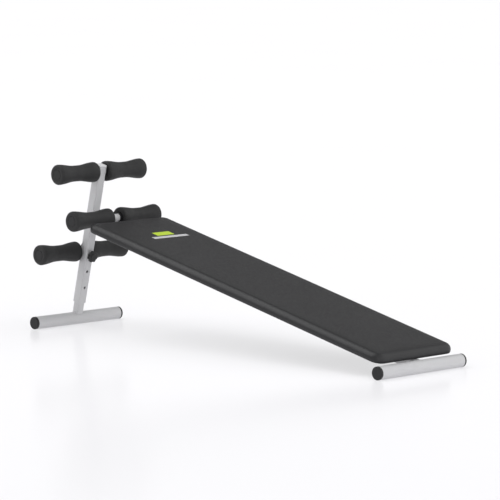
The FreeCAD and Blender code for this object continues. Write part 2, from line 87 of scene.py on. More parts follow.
class Surface:
    """A Principled material and the few node chains that give it its detail."""

    def __init__(self, name, roughness=0.5, metallic=0.0, specular=0.5, turn=0.0):
        self.material = bpy.data.materials.new(name)
        self.material.use_nodes = True
        self.tree = self.material.node_tree
        self.shader = self.tree.nodes["Principled BSDF"]
        self.shader.inputs["Roughness"].default_value = roughness
        self.shader.inputs["Metallic"].default_value = metallic
        self.shader.inputs["Specular IOR Level"].default_value = specular
        where = self.node("ShaderNodeTexCoord").outputs["Object"]
        if turn:
            mapping = self.node("ShaderNodeMapping")
            mapping.inputs["Rotation"].default_value = (0, turn, 0)
            where = self.join(where, mapping.inputs["Vector"]).outputs["Vector"]
        self.where = where
        self.height = None

    def node(self, kind, **settings):
        """A new node of this kind, with its own settings."""
        made = self.tree.nodes.new(kind)
        for key, value in settings.items():
            setattr(made, key, value)
        return made

    def join(self, out, into):
        """Links an output into a socket, and gives back the socket's node."""
        self.tree.links.new(out, into)
        return into.node

    def stretched(self, scale):
        """The surface's own coordinates, scaled differently on each axis."""
        mapping = self.node("ShaderNodeMapping")
        mapping.inputs["Scale"].default_value = scale
        return self.join(self.where, mapping.inputs["Vector"]).outputs["Vector"]

    def noise(self, scale, detail=3.0, where=None, warp=0.0):
        """Soft noise, mostly between 0.3 and 0.7."""
        made = self.node("ShaderNodeTexNoise")
        made.inputs["Scale"].default_value = scale
        made.inputs["Detail"].default_value = detail
        made.inputs["Distortion"].default_value = warp
        self.join(where or self.where, made.inputs["Vector"])
        return made.outputs["Fac"]

    def clouds(self, scale, detail):
        """Soft noise stretched to the whole range from 0 to 1."""
        return self.remap(self.noise(scale, detail), *NOISE_RANGE, 0.0, 1.0)

    def cells(self, scale, feature="F1", out="Distance", where=None):
        """A cellular pattern, such as flakes, pores or creases."""
        made = self.node("ShaderNodeTexVoronoi", feature=feature)
        made.inputs["Scale"].default_value = scale
        self.join(where or self.where, made.inputs["Vector"])
        return made.outputs[out]

    def warped(self, scale, amount):
        """The coordinates pushed about by a noise."""
        wobble = self.node("ShaderNodeTexNoise")
        wobble.inputs["Scale"].default_value = scale
        self.join(self.where, wobble.inputs["Vector"])
        add = self.node("ShaderNodeVectorMath", operation="MULTIPLY_ADD")
        self.join(wobble.outputs["Color"], add.inputs[0])
        add.inputs[1].default_value = (amount,) * 3
        self.join(self.where, add.inputs[2])
        return add.outputs["Vector"]

    def remap(self, value, low, high, to_low, to_high):
        """Takes the range low to high onto another one."""
        made = self.node("ShaderNodeMapRange")
        for name, number in zip(
            ("From Min", "From Max", "To Min", "To Max"), (low, high, to_low, to_high)
        ):
            made.inputs[name].default_value = number
        self.join(value, made.inputs["Value"])
        return made.outputs["Result"]

    def math(self, operation, first, second):
        """One sum of two values, each a number or an output."""
        made = self.node("ShaderNodeMath", operation=operation)
        for slot, value in zip(made.inputs, (first, second)):
            if isinstance(value, (int, float)):
                slot.default_value = value
            else:
                self.join(value, slot)
        return made.outputs[0]

    def mix(self, share, first, second):
        """A colour between two, by share. Each may be a colour or an output."""
        made = self.node("ShaderNodeMix", data_type="RGBA")
        self.join(share, made.inputs["Factor"])
        for slot, value in ((made.inputs[6], first), (made.inputs[7], second)):
            if isinstance(value, tuple):
                slot.default_value = (*value, 1)
            else:
                self.join(value, slot)
        return made.outputs[2]

    def colour(self, out):
        """The output that colours the surface."""
        self.join(out, self.shader.inputs["Base Color"])

    def rough(self, value, low, high):
        """Roughness from low to high, as a noise says."""
        roughness = self.remap(value, *NOISE_RANGE, low, high)
        self.join(roughness, self.shader.inputs["Roughness"])

    def bump(self, value, depth, strength=1.0):
        """Adds one layer of relief, depth in metres."""
        made = self.node("ShaderNodeBump")
        made.inputs["Strength"].default_value = strength
        made.inputs["Distance"].default_value = depth
        self.join(value, made.inputs["Height"])
        if self.height:
            self.join(self.height, made.inputs["Normal"])
        self.height = made.outputs["Normal"]
        self.join(self.height, self.shader.inputs["Normal"])

    def set(self, **values):
        """Values that are the same all over the surface."""
        for name, value in values.items():
            self.shader.inputs[name.replace("_", " ")].default_value = value


def powder_coat():
    """Silver-grey powder coat: a fine orange peel with a little metal flake in it, and painted shade darkening its
    holes and corners.
    """
    made = Surface("powder_coat", metallic=0.10, specular=0.35)
    flake = made.cells(2600, out="Color")
    bright = made.node("ShaderNodeSeparateColor")
    made.join(flake, bright.inputs["Color"])
    tone = made.mix(bright.outputs["Red"], (0.48, 0.48, 0.49), (0.57, 0.57, 0.58))
    cloud = made.remap(made.noise(9, 4), 0.35, 0.65, 0.0, 0.35)
    coat = made.mix(cloud, tone, (0.47, 0.47, 0.49))
    # painted shade: an ambient-occlusion probe darkens the coat's colour in holes, corners and joints
    shade_probe = made.node("ShaderNodeAmbientOcclusion", samples=8, only_local=True)
    shade_probe.inputs["Distance"].default_value = NOOK_REACH
    unshaded = made.remap(shade_probe.outputs["AO"], 0.2, 0.8, 0.0, 1.0)
    made.colour(made.mix(unshaded, NOOK_SHADE, coat))
    made.rough(made.noise(24, 5), 0.36, 0.46)
    made.bump(made.noise(620, 2), 0.00012, 0.35)
    made.bump(made.noise(2400, 2), 0.00004, 0.4)
    return made.material


def foam_skin():
    """The closed skin that forms on moulded foam: matte, finely pebbled and a little uneven."""
    made = Surface("foam_skin", specular=0.18)
    tone = made.mix(made.clouds(28, 5), (0.019, 0.019, 0.0195), (0.026, 0.026, 0.0265))
    pores = made.remap(made.cells(900, "SMOOTH_F1"), 0.15, 0.6, 0.0, 1.0)
    # painted shade: the colour follows the pore relief, darker down in the pores and lighter on the skin between
    # them
    pale = made.remap(pores, 0.0, 1.0, 0.0, 0.45)
    made.colour(made.mix(pale, tone, (0.038, 0.038, 0.039)))
    made.rough(made.noise(90, 4), 0.50, 0.62)
    made.bump(made.noise(70, 3), 0.0006, 0.3)
    made.bump(pores, 0.00022, 0.55)
    made.bump(made.noise(3200, 2), 0.00005, 0.5)
    made.set(Sheen_Weight=0.03, Sheen_Roughness=0.45)
    return made.material


def vinyl(print_mark):
    """Black vinyl with a pressed leather grain and, on the pad, two plain printed bars."""
    made = Surface("vinyl", specular=0.26)
    grain_at = made.warped(260, 0.0016)
    grain = made.cells(520, "DISTANCE_TO_EDGE", where=grain_at)
    crease = made.remap(grain, 0.0, 0.16, 0.0, 1.0)
    tone = made.mix(made.clouds(7, 5), (0.023, 0.023, 0.0245), (0.028, 0.028, 0.0295))
    # painted shade: the grain's creases are darkened in the colour
    tone = made.mix(made.remap(crease, 0.0, 1.0, 0.4, 0.0), tone, (0.013, 0.013, 0.014))
    made.rough(made.noise(140, 4), 0.31, 0.41)
    made.colour(print_mark(made, tone))
    made.bump(made.noise(45, 3), 0.0005, 0.22)
    made.bump(crease, 0.00013, 0.5)
    made.bump(made.noise(2600, 2), 0.00004, 0.45)
    return made.material


def plastic(name, dark, light, rough):
    """Moulded plastic with the fine spark texture of its tool."""
    made = Surface(name, specular=0.3)
    made.colour(made.mix(made.clouds(60, 4), dark, light))
    made.rough(made.noise(320, 3), *rough)
    made.bump(made.noise(1700, 3), 0.00006, 0.6)
    made.bump(made.noise(130, 2), 0.00012, 0.2)
    return made.material


def zinc():
    """Zinc plating: small bright crystals with a slight blue cast."""
    made = Surface("zinc_plate", metallic=1.0)
    crystal = made.node("ShaderNodeSeparateColor")
    made.join(made.cells(420, out="Color", where=made.warped(500, 0.001)), crystal.inputs["Color"])
    made.colour(made.mix(crystal.outputs["Red"], (0.60, 0.62, 0.65), (0.80, 0.80, 0.80)))
    made.rough(made.noise(240, 4), 0.24, 0.42)
    made.bump(made.noise(1500, 2), 0.00004, 0.5)
    return made.material


def plywood():
    """Plywood stained black: long grain on its faces and its plies on the edges."""
    made = Surface("stained_plywood", specular=0.25, turn=-TILT)
    fibre = made.noise(1.0, 6, where=made.stretched((7, 160, 7)), warp=0.6)
    grain = made.remap(fibre, *NOISE_RANGE, 0, 1)
    tone = made.mix(grain, (0.050, 0.046, 0.042), (0.090, 0.084, 0.078))
    ply = made.cells(1.0, where=made.stretched((0.5, 0.5, 480)))
    glue_line = made.remap(ply, 0.1, 0.6, 0.5, 0.0)
    made.colour(made.mix(glue_line, tone, (0.030, 0.027, 0.025)))
    made.rough(fibre, 0.62, 0.8)
    made.bump(fibre, 0.0003, 0.5)
    return made.material


# ---- meshes ----


def make_object(name, mesh, body, material):
    """An object for a new piece, riding on a CAD body."""
    made = bpy.data.objects.new(name, mesh)
    bpy.context.scene.collection.objects.link(made)
    mesh.materials.append(material)
    mesh.shade_smooth()
    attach(made, body)
    return made


def grid_faces(rows, columns, base=0, closed=False):
    """Quads over rows of points, each closed into a ring if closed."""
    faces = []
    for i in range(rows - 1):
        near, far = base + i * columns, base + (i + 1) * columns
        for j in range(columns if closed else columns - 1):
            after = (j + 1) % columns
            faces.append([near + j, near + after, far + after, far + j])
    return faces


def ring_faces(first, second):
    """Quads that join two rings of as many points each."""
    faces = []
    for j in range(len(first)):
        after = (j + 1) % len(first)
        faces.append([first[j], first[after], second[after], second[j]])
    return faces


def mesh_from(name, points, faces):
    """A mesh of these points and faces."""
    mesh = bpy.data.meshes.new(name)
    mesh.from_pydata([tuple(p) for p in points], [], faces)
    mesh.update()
    return mesh


def outward(mesh):
    """Turns every face outwards."""
    work = bmesh.new()
    work.from_mesh(mesh)
    bmesh.ops.recalc_face_normals(work, faces=work.faces)
    work.to_mesh(mesh)
    work.free()


def finish_modifiers(obj):
    """Puts the modifiers' result into the mesh."""
    bpy.context.view_layer.update()
    graph = bpy.context.evaluated_depsgraph_get()
    made = bpy.data.meshes.new_from_object(obj.evaluated_get(graph))
    obj.modifiers.clear()
    obj.data = made
    made.shade_smooth()


# ---- foam rollers ----

ROLLER_TURNS = 96
PARTING_AT = ROLLER_TURNS // 8  # where the mould's line is, and again on the other side
BULGE_EDGE = 7.5 * MM
WAIST_SHARE = 0.789  # the waist's diameter over the bulges'
WAIST_HALF = 10 * MM
RECESS_DEPTH = 2.5 * MM
RECESS_PLAY = 1.0 * MM  # room round the end plug's flange
SKIN_LIP = 1.2 * MM  # rounding where the end face turns into the recess
EDGE_STEPS = 8
FLARE_STEPS = 22
SKIN_WOBBLE = 0.25 * MM  # unevenness of the moulded skin
SKIN_NOISE_SCALE = 38
PARTING_LINE = 0.3 * MM  # height of the line that the mould leaves


def arc(centre, radius, start, end, count):
    """Points along an arc in (length, radius) space, from start to end in degrees."""
    turns = [math.radians(start + (end - start) * i / count) for i in range(count + 1)]
    return [(centre[0] + radius * math.cos(t), centre[1] + radius * math.sin(t)) for t in turns]


def roller_profile(half, bulge, bore, recess):
    """A dogbone half section, as (along the axis, radius) from the bore and back to it."""
    waist = bulge * WAIST_SHARE
    crest = half - BULGE_EDGE
    rise, run = bulge - waist, crest - WAIST_HALF
    floor = half - RECESS_DEPTH
    lip = SKIN_LIP * 0.9
    points = [
        (floor, bore),
        (floor, bore + 0.6 * MM),
        (floor, recess - SKIN_LIP),
        (floor + 0.3 * MM, recess - 0.3 * MM),
        (half - lip, recess),
        (half - lip * 0.3, recess + lip * 0.3),
        (half, recess + lip),
    ]
    flat_end = bulge - BULGE_EDGE
    points += [(half, recess + lip + (flat_end - recess - lip) * k / 3) for k in (1, 2)]
    points += arc((crest, flat_end), BULGE_EDGE, 0, 90, EDGE_STEPS)
    for k in range(1, FLARE_STEPS + 1):
        share = k / FLARE_STEPS
        ease = share * share * (3 - 2 * share)
        points.append((crest - run * share, bulge - rise * ease))
    points += [(WAIST_HALF * k / 2, waist) for k in (1, 0)]
    mirrored = [(-length, radius) for length, radius in reversed(points[:-1])]
    return points + mirrored


def make_roller(bar, hand, material):
    """One foam roller round its own bar, with the mould's parting line along two sides."""
    node = f"{bar}_{hand}_foam"
    low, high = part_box(node)
    centre = (low + high) / 2
    half, bulge = (high.y - low.y) / 2, (high.z - low.z) / 2
    core_low, core_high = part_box(f"{bar}_{hand}_core")
    bore = (core_high.z - core_low.z) / 2
    plug_low, plug_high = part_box(f"{bar}_{hand}_end_plug")
    recess = (plug_high.z - plug_low.z) / 2 + RECESS_PLAY
    profile = roller_profile(half, bulge, bore, recess)
    start = dice.random() * 10
    points = []
    for length, radius in profile:
        for k in range(ROLLER_TURNS):
            turn = 2 * math.pi * k / ROLLER_TURNS
            ring = Vector((math.cos(turn), 0, math.sin(turn)))
            place = ring * radius + Vector((0, length, 0))
            out = 0.0
            if radius > recess + SKIN_LIP:
                where = place * SKIN_NOISE_SCALE + Vector((start, 0, 0))
                out = SKIN_WOBBLE * noise.noise(where)
                if k % (ROLLER_TURNS // 2) == PARTING_AT:
                    out += PARTING_LINE
            points.append(centre + place + ring * (out - SKIN_WOBBLE))
    faces = grid_faces(len(profile), ROLLER_TURNS, closed=True)
    last = (len(profile) - 1) * ROLLER_TURNS
    faces += ring_faces(range(last, last + ROLLER_TURNS), range(ROLLER_TURNS))
    mesh = mesh_from(f"{bar}_{hand}_grip", points, faces)
    outward(mesh)
    roller = make_object(f"{bar}_{hand}_grip", mesh, f"{bar}_{hand}_roller", material)
    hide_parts(node)


# ---- pad ----

pad_low, pad_high = slope_box("pad_cushion")
board_low, board_high = slope_box("pad_board")
PAD_CORNER = 30 * MM
BOARD_INSET = board_low.x - pad_low.x
BOARD_THICK = board_high.z - board_low.z
TOP_INSET = 20.4 * MM  # the flat top ends this far inside the pad's outline
TOP_ROUND = 20 * MM
SIDE_HEIGHT = 7 * MM  # where the rounding meets the upright edge
HEM_WIDTH = 24 * MM
HEM_THICK = 1.1 * MM
HEM_STEPS = 5
LINING = 0.05 * MM  # the cover's inside lies this far under the board
CLEARANCE = 0.1 * MM  # and this far off the board's edge and top
# How the cover's side turns under the board, as (inwards, up) in millimetres.
UNDER_TURN = ((-0.1, 7.0), (0, 4.8), (0.4, 2.4), (1.2, 0.6), (2.6, -0.5), (4.6, -1.1))
START_LOW = 0.4 * MM  # the cover starts this much lower than the cushion's top
SWELL = 0.9 * MM  # and swells by up to this much
CORNER_CELLS = 2
ROUND_STEPS = 9
CELL = 9 * MM
CORNER_REACH = 0.92  # the hem at a corner stops at this share of the way to its centre
GATHERS = 7  # folds round each corner
GATHER_DEPTH = 0.35 * MM
GATHER_DRAW = 0.2 * MM  # how far the cover is drawn in there
GATHER_HEIGHT = 16 * MM  # the folds fade out at about this height
CLOTH_FRAMES = 20
STAPLE_CROWN, STAPLE_WIRE, STAPLE_LEG = 10 * MM, 0.55 * MM, 0.3 * MM
STAPLES_ALONG, STAPLES_ACROSS = 26, 6
STAPLE_SIDES = 6
STAPLE_END_GAP = 0.09  # the two end gaps of a row of staples together
STAPLE_FROM_HEM_END = 7 * MM
STAPLE_STRAY = 4  # how far off its place each staple may be, in millimetres
STAPLE_TILT = 0.22  # and how far out of line, in radians


def spread(low, high, corner):
    """Grid lines from low to high: fine ones over each corner, and even ones between."""
    inner = high - low - corner * 2
    count = max(2, round(inner / CELL))
    lines = [low + corner * k / CORNER_CELLS for k in range(CORNER_CELLS)]
    lines += [low + corner + inner * k / count for k in range(count + 1)]
    return lines + [high - corner + corner * k / CORNER_CELLS for k in range(1, CORNER_CELLS + 1)]


def nearest_core(x, y, low, high, corner):
    """The nearest point of the rectangle that the rounded corners are centred on."""
    cx = min(max(x, low.x + corner), high.x - corner)
    cy = min(max(y, low.y + corner), high.y - corner)
    return cx, cy


def rounded_grid(low, high, corner):
    """Rows of (along, across) points that fill a rectangle with rounded corners."""
    rows = []
    for x in spread(low.x, high.x, corner):
        row = []
        for y in spread(low.y, high.y, corner):
            cx, cy = nearest_core(x, y, low, high, corner)
            a, b = (x - cx) / corner, (y - cy) / corner
            along = cx + corner * a * math.sqrt(1 - b * b / 2)
            across = cy + corner * b * math.sqrt(1 - a * a / 2)
            row.append((along, across))
        rows.append(row)
    return rows


def border(rows, columns):
    """The grid's outer points in order round it, as indices."""
    ring = list(range(columns))
    ring += [i * columns + columns - 1 for i in range(1, rows)]
    ring += [(rows - 1) * columns + j for j in range(columns - 2, -1, -1)]
    ring += [i * columns for i in range(rows - 2, 0, -1)]
    return ring


def pad_rings():
    """The cover's section outside its flat top: (outwards from the top's edge, height, held)."""
    full, thick = TOP_INSET - 0.2 * MM, pad_high.z - pad_low.z - START_LOW
    drop = thick - SIDE_HEIGHT
    rings = []
    for k in range(1, ROUND_STEPS):
        turn = math.radians(90 - 90 * k / ROUND_STEPS)
        across = full - TOP_ROUND + TOP_ROUND * math.cos(turn)
        rings.append((across, thick - drop + drop * math.sin(turn), False))
    edge = TOP_INSET - 0.4 * MM
    rings += [(edge - inwards * MM, up * MM, True) for inwards, up in UNDER_TURN]
    hem_start = edge - UNDER_TURN[-1][0] * MM
    for k in range(1, HEM_STEPS + 1):
        rings.append((hem_start - (HEM_WIDTH - 5 * MM) * k / HEM_STEPS, -HEM_THICK, True))
    hem_end = edge - HEM_WIDTH
    inside = TOP_INSET - BOARD_INSET + CLEARANCE
    over_board = BOARD_THICK + CLEARANCE
    rings += [
        (hem_end - 0.25 * MM, -HEM_THICK * 0.5, True),
        (hem_end, -LINING, True),
        (hem_end + 8 * MM, -LINING, True),
        (inside - 2 * MM, -LINING, True),
        (inside, -LINING, True),
        (inside, BOARD_THICK * 0.5, True),
        (inside, over_board, True),
        (inside - 3 * MM, over_board, True),
    ]
    return rings


def swell(pad, held, cap):
    """Inflates the cover with a cloth simulation, then limits how far each point moved."""
    group = pad.vertex_groups.new(name="held")
    group.add(held, 1.0, "REPLACE")
    cloth = pad.modifiers.new("cloth", "CLOTH")
    settings = cloth.settings
    settings.quality = 6
    settings.mass = 0.25
    settings.tension_stiffness = 40
    settings.compression_stiffness = 40
    settings.shear_stiffness = 12
    settings.bending_stiffness = 2
    settings.use_pressure = True
    settings.uniform_pressure_force = 0.12
    settings.vertex_group_mass = "held"
    settings.effector_weights.gravity = 0
    cloth.point_cache.frame_start, cloth.point_cache.frame_end = 1, CLOTH_FRAMES
    rest = np.array([v.co for v in pad.data.vertices])
    for number in range(1, CLOTH_FRAMES + 1):
        bpy.context.scene.frame_set(number)
    graph = bpy.context.evaluated_depsgraph_get()
    shape = pad.evaluated_get(graph)
    moved = np.array([v.co for v in shape.data.vertices]) - rest
    pad.modifiers.clear()
    pad.vertex_groups.clear()
    bpy.context.scene.frame_set(1)
    far = np.linalg.norm(moved, axis=1, keepdims=True)
    limited = moved * (cap * np.tanh(far / cap) / np.maximum(far, 1e-9))
    pad.data.vertices.foreach_set("co", (rest + limited).ravel())
    pad.data.update()
    print("pad swelled by", round(float(far.max()) / MM, 2), "mm before its cap")


def make_pad(material):
    """The cover and its foam: soft edges, gathered corners and a hem under the board."""
    low = Vector((pad_low.x + TOP_INSET, pad_low.y + TOP_INSET))
    high = Vector((pad_high.x - TOP_INSET, pad_high.y - TOP_INSET))
    corner = PAD_CORNER - TOP_INSET
    plan = rounded_grid(low, high, corner)
    rows, columns = len(plan), len(plan[0])
    points = [Vector((x, y, pad_high.z - START_LOW)) for row in plan for x, y in row]
    faces = grid_faces(rows, columns)
    ring = border(rows, columns)
    # where each section starts on the top's edge, which way it goes, and whether it is at a corner
    starts = []
    for index in ring:
        point = points[index]
        cx, cy = nearest_core(point.x, point.y, low, high, corner)
        away = Vector((point.x - cx, point.y - cy))
        at_corner = min(abs(away.x), abs(away.y)) >= 1e-7
        starts.append((Vector((point.x, point.y)), away.normalized(), at_corner))
    held = []
    previous = ring
    for out, height, fixed in pad_rings():
        current = []
        for spot, normal, at_corner in starts:
            reach = out
            if height < 0 and out < 0 and at_corner:
                reach = max(out, -corner * CORNER_REACH)
            place = spot + normal * reach
            current.append(len(points))
            points.append(Vector((place.x, place.y, pad_low.z + height)))
        if fixed:
            held += current
        faces += ring_faces(previous, current)
        previous = current
    # the face over the board closes the form
    lining = dict(zip(ring, previous))
    for index in range(rows * columns):
        if index not in lining:
            spot = points[index]
            lining[index] = len(points)
            points.append(Vector((spot.x, spot.y, pad_low.z + BOARD_THICK + CLEARANCE)))
    for quad in grid_faces(rows, columns):
        faces.append([lining[index] for index in (quad[3], quad[2], quad[1], quad[0])])
    mesh = mesh_from("pad_cover", points, faces)
    outward(mesh)
    pad = bpy.data.objects.new("pad_cover", mesh)
    bpy.context.scene.collection.objects.link(pad)
    swell(pad, sorted(set(held) | set(lining.values())), SWELL)
    gather_corners(pad)
    division = pad.modifiers.new("smooth", "SUBSURF")
    division.levels = division.render_levels = 1
    finish_modifiers(pad)
    pad.data.transform(SLOPE)
    pad.data.materials.append(material)
    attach(pad, "frame")
    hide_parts("pad_cushion")


def gather_corners(pad):
    """Small folds where the cover is drawn in round each corner, deeper at the underside."""
    for v in pad.data.vertices:
        cx, cy = nearest_core(v.co.x, v.co.y, pad_low, pad_high, PAD_CORNER)
        away = Vector((v.co.x - cx, v.co.y - cy, 0))
        if min(abs(away.x), abs(away.y)) < 1e-6 or away.length < PAD_CORNER * 0.5:
            continue
        angle = math.atan2(abs(away.y), abs(away.x))
        height = v.co.z - pad_low.z
        fade = min(1.0, max(0.0, 1 - (height + 1 * MM) / GATHER_HEIGHT))
        ends = math.sin(2 * angle) ** 0.5
        wave = math.cos(angle * 2 * GATHERS) * GATHER_DEPTH * fade * ends
        v.co += away.normalized() * (wave - GATHER_DRAW * fade)


def make_staples(material):
    """The staples that hold the hem under the board."""
    crown, wire, leg = STAPLE_CROWN, STAPLE_WIRE, STAPLE_LEG
    inset = HEM_WIDTH - STAPLE_FROM_HEM_END
    under = pad_low.z - HEM_THICK
    length, width = pad_high.x - pad_low.x, pad_high.y - pad_low.y
    middle = pad_low.x + length / 2
    spots = []
    for count, row_length, lengthwise in (
        (STAPLES_ALONG, length - STAPLE_END_GAP, True),
        (STAPLES_ACROSS, width - STAPLE_END_GAP, False),
    ):
        for side in (-1, 1):
            for k in range(count):
                stray = dice.uniform(-STAPLE_STRAY, STAPLE_STRAY) * MM
                s = row_length * (k / (count - 1) - 0.5) + stray
                if lengthwise:
                    spot = (middle + s, side * (width / 2 - inset))
                else:
                    spot = (middle + side * (length / 2 - inset), s)
                spots.append((*spot, lengthwise, dice.uniform(-STAPLE_TILT, STAPLE_TILT)))
    bent = [
        (-crown / 2, leg),
        (-crown / 2, -wire * 0.3),
        (-crown / 2 + wire, -wire * 0.6),
        (crown / 2 - wire, -wire * 0.6),
        (crown / 2, -wire * 0.3),
        (crown / 2, leg),
    ]
    points, faces = [], []
    for x, y, lengthwise, tilt in spots:
        turn = tilt + (0 if lengthwise else math.pi / 2)
        run = Vector((math.cos(turn), math.sin(turn), 0))
        flat = Vector((-run.y, run.x, 0))
        base = len(points)
        for s, h in bent:
            for k in range(STAPLE_SIDES):
                a = 2 * math.pi * k / STAPLE_SIDES
                off = flat * math.cos(a) * wire * 0.6 + Vector((0, 0, math.sin(a) * wire * 0.45))
                points.append(Vector((x, y, under)) + run * s + Vector((0, 0, h)) + off)
        faces += grid_faces(len(bent), STAPLE_SIDES, base, closed=True)
        faces.append([base + k for k in range(STAPLE_SIDES)][::-1])
        faces.append([len(points) - STAPLE_SIDES + k for k in range(STAPLE_SIDES)])
    mesh = mesh_from("pad_staples", [SLOPE @ p for p in points], faces)
    outward(mesh)
    make_object("pad_staples", mesh, "frame", material)


# ---- welds ----

WELD = 1.7 * MM  # radius of a bead
BEAD_STEP = 0.8 * MM
BEAD_SIDES = 8
AXES = (Vector((0, 0, 1)), Vector((1, 0, 0)), Vector((0, 1, 0)))
BEAD_END_GAP = 3 * MM  # a strap's beads end this far inside its edges
TUBE_CORNER = 3 * MM
CORNER_POINTS = 5
BAR_POINTS = 40
SEAT_RISE = 1.6 * MM  # a bar's beads lie this far off the point where it is seated
SEAT_SIDE = 6.4 * MM  # and this far to each side of its axis


def bead(points, closed, out):
    """A rippled bead along points of the sloping axes, added to out as (points, faces)."""
    path = [Vector(p) for p in points]
    if closed:
        path.append(path[0])
    fine = []
    for a, b in zip(path, path[1:]):
        steps = max(1, round((b - a).length / BEAD_STEP))
        fine += [a.lerp(b, k / steps) for k in range(steps)]
    if not closed:
        fine.append(path[-1])
    count = len(fine)
    made, faces = out
    base = len(made)
    for i, point in enumerate(fine):
        ahead = fine[(i + 1) % count] if closed else fine[min(i + 1, count - 1)]
        behind = fine[i - 1] if closed else fine[max(i - 1, 0)]
        run = (ahead - behind).normalized()
        # one steady axis along the path keeps the bead from twisting
        steady = next(axis for axis in AXES if abs(run.dot(axis)) < 0.75)
        first = (steady - run * run.dot(steady)).normalized()
        second = run.cross(first)
        ripple = 1 + 0.16 * math.sin(i * 1.9) + 0.10 * noise.noise(point * 300)
        end = 1.0
        if not closed:
            end = min(1.0, 0.35 + 0.3 * min(i, count - 1 - i))
        for k in range(BEAD_SIDES):
            turn = 2 * math.pi * k / BEAD_SIDES
            off = (first * math.cos(turn) + second * math.sin(turn)) * WELD * ripple * end
            made.append(point + off)
    faces += grid_faces(count, BEAD_SIDES, base, closed=True)
    start = range(base, base + BEAD_SIDES)
    finish = range(len(made) - BEAD_SIDES, len(made))
    if closed:
        faces += ring_faces(finish, start)
    else:
        faces += [list(start), list(finish)]


def square_ring(half, at):
    """Points round a tube's rounded square, which at() turns into points of the sloping axes."""
    middle = half - TUBE_CORNER
    points = []
    for cx, cy, start in ((1, 1, 0), (-1, 1, 90), (-1, -1, 180), (1, -1, 270)):
        for k in range(CORNER_POINTS):
            turn = math.radians(start + 90 * k / (CORNER_POINTS - 1))
            a = cx * middle + TUBE_CORNER * math.cos(turn)
            b = cy * middle + TUBE_CORNER * math.sin(turn)
            points.append(at(a, b))
    return points


def make_welds(material):
    """The beads at the joints of the frame, and the one at the foot of the leg."""
    post_low, post_high = slope_box("post_tube")
    rail_low, rail_high = slope_box("main_frame_tube")
    leg_low, leg_high = slope_box("inner_leg_tube")
    rear_low, rear_high = slope_box("rear_foot_tube")
    plate_low, plate_high = slope_box("knob_thread_plate")
    half = (post_high.x - post_low.x) / 2
    leg_half = (leg_high.x - leg_low.x) / 2
    plate_half = (plate_high.y - plate_low.y) / 2
    rail_up = (rail_low.z + rail_high.z) / 2
    rear_along = (rear_low.x + rear_high.x) / 2
    plate_up = (plate_low.z + plate_high.z) / 2
    on_frame, on_leg = ([], []), ([], [])

    def on_post(a, b):
        return half, a, rail_up + b

    def on_rear_foot(a, b):
        return rear_along - math.sqrt(FOOT_RADIUS**2 - b * b), a, rail_up + b

    def on_front_foot(a, b):
        return a, b, math.sqrt(FOOT_RADIUS**2 - a * a)

    def round_plate(a, b):
        return half, a, plate_up + b

    bead(square_ring(half, on_post), True, on_frame)
    bead(square_ring(half, on_rear_foot), True, on_frame)
    bead(square_ring(leg_half, on_front_foot), True, on_leg)
    bead(square_ring(plate_half, round_plate), True, on_frame)
    for bar in BARS:
        low, high = slope_box(f"{bar}_roller_bar")
        middle, radius = (low + high) / 2, (high.z - low.z) / 2
        reach = half - 2 * MM
        for side in (-1, 1):
            if bar == "top":
                ring = []
                for k in range(BAR_POINTS):
                    turn = 2 * math.pi * k / BAR_POINTS
                    x = middle.x + radius * math.cos(turn)
                    z = middle.z + radius * math.sin(turn)
                    ring.append((x, side * half, z))
                bead(ring, True, on_frame)
            elif bar == "middle":
                x, z = middle.x + side * SEAT_SIDE, middle.z - radius + SEAT_RISE
                bead([(x, -reach, z), (x, reach, z)], False, on_frame)
            else:
                x, z = middle.x + radius - SEAT_RISE, middle.z + side * SEAT_SIDE
                bead([(x, -reach, z), (x, reach, z)], False, on_frame)
    for name in ("pad_strap_upper", "pad_strap_middle", "pad_strap_lower"):
        low, high = slope_box(name)
        for side in (-1, 1):
            y = side * (half - 0.6 * MM)
            z = rail_high.z - 0.3 * MM
            ends = [(low.x + BEAD_END_GAP, y, z), (high.x - BEAD_END_GAP, y, z)]
            bead(ends, False, on_frame)
    for name, body, (points, faces) in (
        ("frame_welds", "frame", on_frame),
        ("leg_weld", "front_leg", on_leg),
    ):
        mesh = mesh_from(name, [SLOPE @ Vector(p) for p in points], faces)
        outward(mesh)
        make_object(name, mesh, body, material)


# ---- the bench's looks ----

MARK_ALONG, MARK_ACROSS = 338 * MM, 16 * MM
MARK_UP = 16 * MM  # the bars are printed only above this height, so on the top
# Each printed bar: centre along, half length, centre across, half width, ink.
PRINTED_BARS = (
    (-20 * MM, 15 * MM, -4 * MM, 36 * MM, (0.50, 0.68, 0.04)),
    (11 * MM, 8 * MM, 0.0, 74 * MM, (0.58, 0.58, 0.59)),
)


def print_mark(made, tone):
    """Two plain printed bars, one lime and one light grey, in the pad's own sloping axes."""
    spin = made.node("ShaderNodeMapping")
    spin.vector_type = "TEXTURE"
    middle = on_slope(MARK_ALONG, MARK_ACROSS, 0)
    spin.inputs["Location"].default_value = middle
    spin.inputs["Rotation"].default_value = (0, TILT, 0)
    made.join(made.where, spin.inputs["Vector"])
    parts = made.node("ShaderNodeSeparateXYZ")
    made.join(spin.outputs["Vector"], parts.inputs["Vector"])
    along, across, up = (parts.outputs[k] for k in ("X", "Y", "Z"))
    high_enough = made.math("GREATER_THAN", up, pad_low.z + MARK_UP)
    for centre, reach, middle_across, half_across, ink in PRINTED_BARS:
        from_middle = made.math("ABSOLUTE", made.math("SUBTRACT", along, centre), 0)
        inside = made.math("LESS_THAN", from_middle, reach)
        sideways = made.math("ABSOLUTE", made.math("SUBTRACT", across, middle_across), 0)
        inside = made.math("MULTIPLY", inside, made.math("LESS_THAN", sideways, half_across))
        tone = made.mix(made.math("MULTIPLY", inside, high_enough), tone, ink)
    return tone


